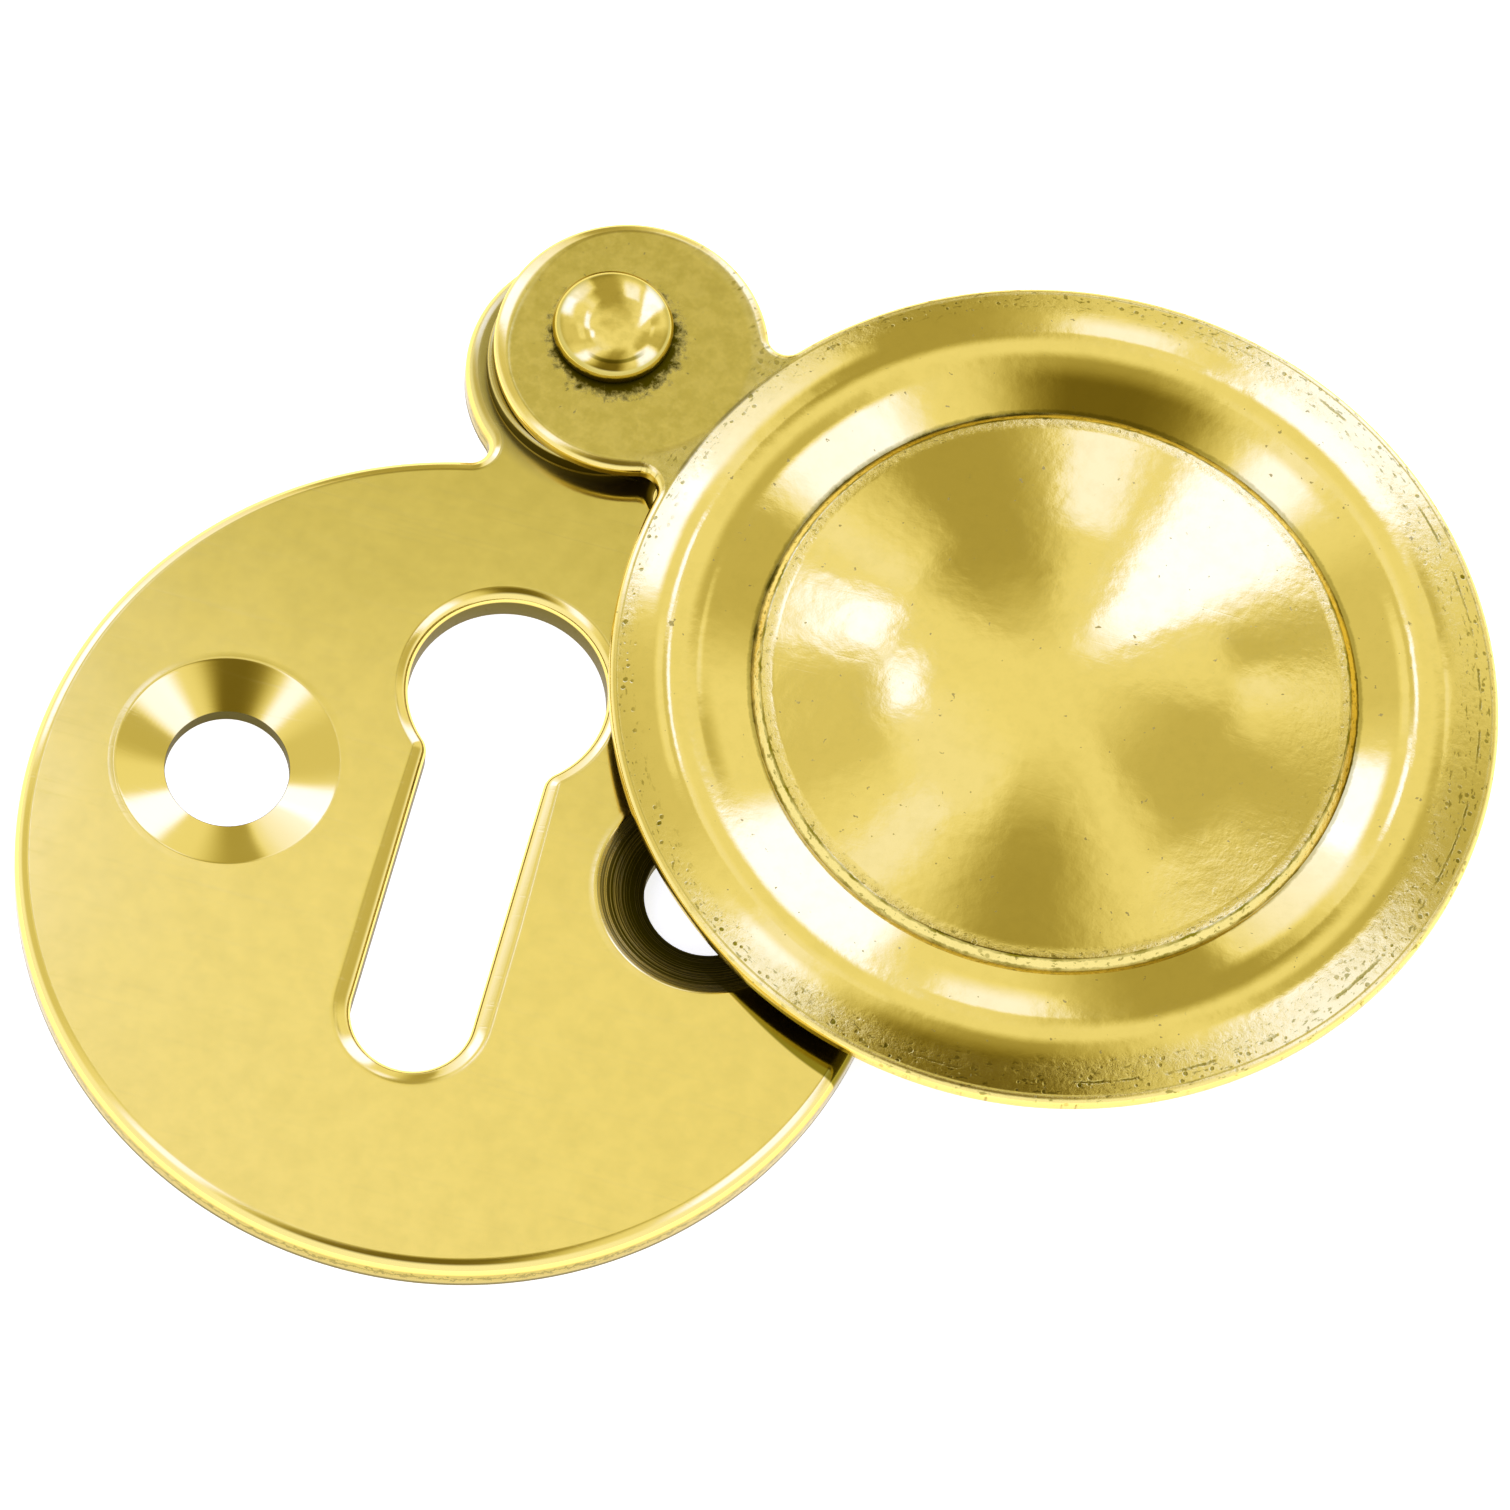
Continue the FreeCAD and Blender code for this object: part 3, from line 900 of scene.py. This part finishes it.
def groove_lines(tree, place, patchy):
    """Tarnish in and beside the groove, and the dirt on top of it."""
    _, angle = from_middle(tree, place, COVER_CENTRE)
    distance = uneven_distance(tree, place)
    half_width = eased(tree, facing(tree, angle, 150), 0.3, 0.95, 0.07, 0.14)
    off_line = calc(tree, "ABSOLUTE", calc(tree, "SUBTRACT", distance, GROOVE_LINE))
    line = product(tree, eased(tree, calc(tree, "DIVIDE", off_line, half_width), 1.0, 0.3), patchy)
    dirt_and_shade = product(tree, line, eased(tree, half_width, 0.07, 0.14, 0.15, 0.75))
    dome_edge = product(tree, ring_line(tree, distance, DOME_EDGE_LINE, 0.075), patchy)
    outer_side = product(tree, band(tree, distance, 11.08, 11.14, 11.24, 11.34), 0.5)
    return strongest(tree, dome_edge, outer_side, product(tree, line, 0.9)), dirt_and_shade


def turned_line(tree, place):
    """What is left of the turned line near the rim."""
    _, angle = from_middle(tree, place, COVER_CENTRE)
    broken = eased(tree, grain(tree, place, 0.6, detail=3.0, rough=0.6), 0.46, 0.60)
    line = ring_line(tree, uneven_distance(tree, place), RIM_LINE, 0.07)
    return product(tree, line, broken, eased(tree, right_of_cover(tree, angle), -0.2, 0.5))

# %% [markdown]
# A cloth goes round the rivet and never under it, so a ragged stain has grown there, reaching furthest
# at the lower right. A little dirt is also left where the ear meets the disc, and in single spots.

# %% Dirt on the cover
def cover_dirt(tree, place, patchy):
    distance, _ = from_middle(tree, place, COVER_CENTRE)
    rivet_distance, rivet_angle = from_middle(tree, place, PIVOT)
    ragged = plus(tree, rivet_distance, grain(tree, place, 2.6, detail=5.0, rough=0.8), -1.8)
    low_right = calc(tree, "COSINE", calc(tree, "ADD", rivet_angle, 0.95))
    reach = plus(tree, 1.32, low_right, 0.36)
    stain = eased(tree, calc(tree, "SUBTRACT", ragged, reach), 0.45, -0.1)
    crease = product(tree, ring_line(tree, distance, EAR_CREASE, 0.11), eased(tree, rivet_distance, 6.8, 6.0))
    spots = product(tree, eased(tree, grain(tree, place, 3.4, detail=2.0), 0.72, 0.76), 0.5)
    return strongest(tree, spots, product(tree, crease, patchy, 0.6), stain)


def cover_dullness(tree, place, fine_clouds, unbuffed):
    """Dull and mottled on the ear, a little dull where the wheel missed, and hazy in clouds."""
    distance, _ = from_middle(tree, place, COVER_CENTRE)
    mottle = eased(tree, grain(tree, place, 1.8, detail=4.0, rough=0.65), 0.35, 0.65, 0.70, 0.94)
    dull = product(tree, eased(tree, distance, 15.95, 16.1), level_face(tree), mottle)
    dull = plus(tree, dull, eased(tree, fine_clouds, 0.4, 0.7), 0.10)
    return plus(tree, dull, unbuffed, 0.2)

# %% Cover brass
def cover_brass():
    material, tree, shader, place = start_brass("cover_brass")
    distance, _ = from_middle(tree, place, COVER_CENTRE)
    on_ear = eased(tree, distance, 15.95, 16.1)
    clouds = grain(tree, place, 0.35, detail=3.0)
    fine_clouds = grain(tree, place, 1.6, detail=4.0, rough=0.6)
    skin = grain(tree, place, 3.2, detail=5.0, rough=0.7, distortion=0.4)
    patchy = eased(tree, grain(tree, place, 0.9, detail=3.0), 0.35, 0.65, 0.4, 1.0)
    back = cast_back_and_shade(tree)

    unbuffed, rough_skin, outermost = cover_skin(tree, place, clouds)
    pits = cover_pits(tree, place, rough_skin, outermost)
    streaks = turning_streaks(tree, place)
    flecks = product(tree, eased(tree, streaks, 0.42, 0.33), rough_skin, 0.7)
    rim_line = turned_line(tree, place)
    groove_tarnish, groove_dirt = groove_lines(tree, place, patchy)
    tarnish = strongest(tree, pits, flecks, product(tree, rim_line, 0.8), groove_tarnish)
    dirt_and_shade = strongest(tree, groove_dirt, cover_dirt(tree, place, patchy))

    colour = blended(tree, cover_dullness(tree, place, fine_clouds, unbuffed), BRASS, DULL_AND_SHADED_BRASS)
    colour = blended(tree, tarnish, colour, TARNISH_AND_SHADE)
    # The cover's cast back: rough, and painted dark as shade in the gap over the plate.
    colour = blended(tree, back, colour, CAST_BRASS_AND_SHADE)
    colour = blended(tree, dirt_and_shade, colour, DIRT_AND_SHADE)

    roughness = plus(tree, 0.03, fine_clouds, 0.05)
    roughness = plus(tree, roughness, on_ear, 0.08)
    roughness = plus(tree, roughness, rough_skin, 0.08)
    roughness = plus(tree, roughness, strongest(tree, back, dirt_and_shade), 0.35)

    height = product(tree, clouds, 0.009)
    height = plus(tree, height, fine_clouds, 0.0016)
    height = plus(tree, height, scratches(tree, place, 35, 5.0), -0.0001)
    height = plus(tree, height, product(tree, skin, total(tree, rough_skin, back)), 0.008)
    height = plus(tree, height, product(tree, streaks, rough_skin), 0.007)
    height = plus(tree, height, pits, -0.006)
    height = plus(tree, height, rim_line, -0.01)
    finish_brass(tree, shader, colour, roughness, height)
    return material


cover.data.materials.append(cover_brass())

# %% [markdown]
# ### The rivet's brass
#
# The head is burnished by years of fingers, with small hammer dents that break up what it mirrors.
# Its shoulder is painted darker, a painted reflection of the ear; its foot is painted dark as shade;
# and below the crown a short dark arc is a painted dark reflection.

# %% Rivet brass
# Where the painted dark reflection lies below the crown.
ARC_RADIUS = 1.60
ARC_WAY_DEG = -72


def rivet_brass():
    material, tree, shader, place = start_brass("rivet_brass")
    _, _, z = axes_of(tree, place)
    distance, angle = from_middle(tree, place, Vector(PIVOT) + CROWN_SHIFT)
    fine = grain(tree, place, 3.0, detail=3.0)
    foot_shade = eased(tree, plus(tree, z, fine, 0.3), 3.52, 3.26)
    dark_reflection_arc = ring_line(tree, distance, ARC_RADIUS, 0.11)
    dark_reflection_arc = product(tree, dark_reflection_arc, eased(tree, facing(tree, angle, ARC_WAY_DEG), 0.72, 0.92), 0.8)

    colour = blended(tree, eased(tree, fine, 0.4, 0.7, 0.0, 0.3), BRASS, DULL_AND_SHADED_BRASS)
    # Painted reflection: the shoulder is darker where it would mirror the ear.
    colour = blended(tree, eased(tree, distance, 1.8, 2.1, 0.0, 0.9), colour, DULL_AND_SHADED_BRASS)
    # Painted dark reflection: a short arc below the crown.
    colour = blended(tree, dark_reflection_arc, colour, TARNISH_AND_SHADE)
    # Painted shade at the head's foot, by the ear.
    colour = blended(tree, product(tree, foot_shade, 0.9), colour, DIRT_AND_SHADE)
    roughness = plus(tree, plus(tree, 0.035, fine, 0.04), foot_shade, 0.3)
    dents = grain(tree, place, 0.55, detail=1.0)
    height = total(tree, product(tree, dents, 0.022), product(tree, fine, 0.0008))
    finish_brass(tree, shader, colour, roughness, height)
    return material


rivet.data.materials.append(rivet_brass())

# %% [markdown]
# ## Floor and light
#
# The photographed part lies on white paper that has burnt out to plain white. The floor stays a
# plain pale surface here too. A small emission that only straight looks and mirror looks can see
# lifts it to white, and the part's shadow stays. The paper is a little warm, because the room's light
# is a little cold.

# %% Floor
PAPER = (0.85, 0.815, 0.63, 1)
PAPER_GLOW = 0.8


def build_floor():
    mesh = bmesh.new()
    bmesh.ops.create_grid(mesh, x_segments=1, y_segments=1, size=2.0)
    data = bpy.data.meshes.new("studio_floor")
    mesh.to_mesh(data)
    mesh.free()
    floor = bpy.data.objects.new("studio_floor", data)
    bpy.context.scene.collection.objects.link(floor)

    material = bpy.data.materials.new("white_paper")
    material.use_nodes = True
    tree = material.node_tree
    shader = tree.nodes["Principled BSDF"]
    shader.inputs["Base Color"].default_value = PAPER
    shader.inputs["Roughness"].default_value = 0.9
    shader.inputs["Emission Color"].default_value = (1, 1, 1, 1)
    rays = add_node(tree, "ShaderNodeLightPath")
    straight, mirrored = rays.outputs["Is Camera Ray"], rays.outputs["Is Glossy Ray"]
    seen = strongest(tree, straight, mirrored, rays.outputs["Is Transmission Ray"])
    tree.links.new(product(tree, seen, PAPER_GLOW), shader.inputs["Emission Strength"])
    data.materials.append(material)
    return floor


floor = build_floor()

# %% [markdown]
# Polished metal is lit by what stands round it. A photographer puts it in a tent of white cloth with
# lamps behind the cloth and dark cards beside it, and looks in through the open front. The world here
# is that tent. For any direction it asks which way a mirror would have to lean to show that
# direction to someone at the tent's front: the way of the lean tells which lamp or card is seen, and
# its steepness how far out from the middle. Flat faces see plain cloth, and every slope on the part
# shows the lamps in the order in which they stand.
#
# Each lamp or card has its way round in degrees and half its width, a soft edge, and the leans
# between which it comes up. Some fade again further out.

# %% The tent's directions
TENT_FRONT = (0.0037, -0.4249, 0.9052)
CLOTH = 0.93

world = bpy.data.worlds.new("light_tent")
bpy.context.scene.world = world
world.use_nodes = True
tree = world.node_tree
direction = add_node(tree, "ShaderNodeTexCoord").outputs["Generated"]
mirror = vector_calc(tree, "NORMALIZE", vector_calc(tree, "ADD", direction, TENT_FRONT))
lean_x, lean_y, upright = axes_of(tree, mirror)
lean_way = calc(tree, "DEGREES", calc(tree, "ARCTAN2", lean_y, lean_x))
lean = calc(tree, "DEGREES", calc(tree, "ARCCOSINE", upright))


def patch(way, half, soft, strength, comes, fades=None):
    """How strongly a lamp or card shows in a mirror, by the way and the amount that it leans."""
    off = calc(tree, "PINGPONG", calc(tree, "SUBTRACT", lean_way, way), 180.0)
    seen = product(tree, eased(tree, off, half + soft, half), eased(tree, lean, *comes, 0.0, strength))
    if fades:
        seen = product(tree, seen, eased(tree, lean, *fades, 1.0, 0.0))
    return seen

# %% Cards and lamps
cards = [
    patch(342, 18, 18, 0.36, comes=(0.5, 3.7)),
    patch(27, 2, 11, 0.34, comes=(4.2, 5.2), fades=(6, 11)),
    patch(130, 12, 24, 0.52, comes=(0.3, 3.9)),
    patch(205, 10, 14, 0.20, comes=(4.4, 5.2)),
    patch(276, 5, 22, 0.54, comes=(1.5, 5.2)),
    patch(272, 9, 16, 0.60, comes=(5.0, 12.0)),
]
lamps = [
    patch(57.5, 12, 9, 1.5, comes=(0.6, 2.8)),
    patch(94, 5, 8, 0.8, comes=(4.2, 5.1), fades=(8, 15)),
    patch(152, 6, 9, 0.30, comes=(4.4, 5.1)),
    patch(150, 12, 8, 0.65, comes=(8.0, 12.0)),
    patch(178, 5, 6, 1.5, comes=(4.5, 5.0), fades=(5.7, 6.6)),
    patch(173, 6, 7, 1.5, comes=(9.5, 12.5)),
    patch(197, 6, 8, 1.4, comes=(3.5, 4.0), fades=(4.4, 5.0)),
    patch(199, 8, 8, 0.25, comes=(6.0, 6.8), fades=(8, 10)),
    patch(232, 20, 18, 0.13, comes=(1.4, 3.8), fades=(4.4, 5.4)),
    patch(241, 2, 8, 0.35, comes=(4.4, 5.2)),
    patch(240, 3, 8, 0.8, comes=(8.0, 12.0)),
    patch(324, 7, 12, 1.5, comes=(5.4, 8.0)),
    patch(8, 6, 9, 0.26, comes=(4.6, 5.2), fades=(5.6, 7)),
]

light = CLOTH
for card in cards:
    light = product(tree, calc(tree, "SUBTRACT", 1.0, card), light)
light = total(tree, light, *lamps)
print("lamps:", len(lamps), "cards:", len(cards))

# %% [markdown]
# Brass pictures turn from olive through yellow to white as they brighten. The cards are brown board
# and the cloth is warm, so the darker it is, the less green and blue it sends back. What a lamp adds
# above the cloth is cold, because on yellow brass only light with plenty of blue looks white and not
# lemon. Far from the middle everything runs out into the plain bright room.
#
# The colours could be mixed and sent through one Background node. Mixing Background nodes gives the
# same light sooner: where the share is 0 or 1, the side that isn't seen is never worked out, and the
# tent is the long sum here.

# %% Colour of the tent, and the plain white that the camera sees
WARM_UP_TO = 0.96
COLD_LIGHT = (0.25, 0.43, 2.9)
ROOM = (1.08, 1.14, 1.6, 1)
level = calc(tree, "MINIMUM", light, WARM_UP_TO)
warm = add_node(tree, "ShaderNodeCombineXYZ", {
    0: level, 1: calc(tree, "POWER", level, 1.12), 2: calc(tree, "POWER", level, 2.0),
}).outputs[0]
above = calc(tree, "MAXIMUM", calc(tree, "SUBTRACT", light, WARM_UP_TO), 0.0)
cold = vector_calc(tree, "MULTIPLY", above, COLD_LIGHT)


def background(colour):
    return add_node(tree, "ShaderNodeBackground", {"Color": colour}).outputs[0]


tent = background(vector_calc(tree, "ADD", warm, cold))
far_out = eased(tree, lean, 26.0, 38.0)
lit = add_node(tree, "ShaderNodeMixShader", {0: far_out, 1: tent, 2: background(ROOM)}).outputs[0]
straight = add_node(tree, "ShaderNodeLightPath").outputs["Is Camera Ray"]
seen = add_node(tree, "ShaderNodeMixShader", {0: straight, 1: lit, 2: background((1, 1, 1, 1))}).outputs[0]
tree.links.new(seen, tree.nodes["World Output"].inputs["Surface"])
print("tent's front, as a direction:", TENT_FRONT)

# %% [markdown]
# ## Camera
#
# The camera looks down at the part from in front, from a third of a metre away through a long lens,
# and is turned a little, so that the part lies askew in the picture.

# %% Camera
TARGET = Vector((9.262, 0.667, 0)) * MM
DISTANCE = 340.03 * MM
AZIMUTH, ELEVATION, ROLL = (math.radians(x) for x in (4.604, 65.717, 10.841))
LENS_SHARE = 6.152

back = Vector((
    math.sin(AZIMUTH) * math.cos(ELEVATION),
    -math.cos(AZIMUTH) * math.cos(ELEVATION),
    math.sin(ELEVATION),
))
level_right = Vector((math.cos(AZIMUTH), math.sin(AZIMUTH), 0))
level_up = back.cross(level_right)
right = level_right * math.cos(ROLL) + level_up * math.sin(ROLL)
up = -level_right * math.sin(ROLL) + level_up * math.cos(ROLL)

lens = bpy.data.cameras.new("camera")
lens.sensor_width = 36
lens.lens = 36 * LENS_SHARE
lens.clip_start = 0.01
camera = bpy.data.objects.new("camera", lens)
bpy.context.scene.collection.objects.link(camera)
turned = Matrix((right, up, back)).transposed().to_4x4()
camera.matrix_world = Matrix.Translation(TARGET + back * DISTANCE) @ turned
bpy.context.scene.camera = camera
bpy.context.scene.view_settings.view_transform = "Standard"
print(f"lens {lens.lens:.1f} mm, {DISTANCE / MM:.0f} mm away")
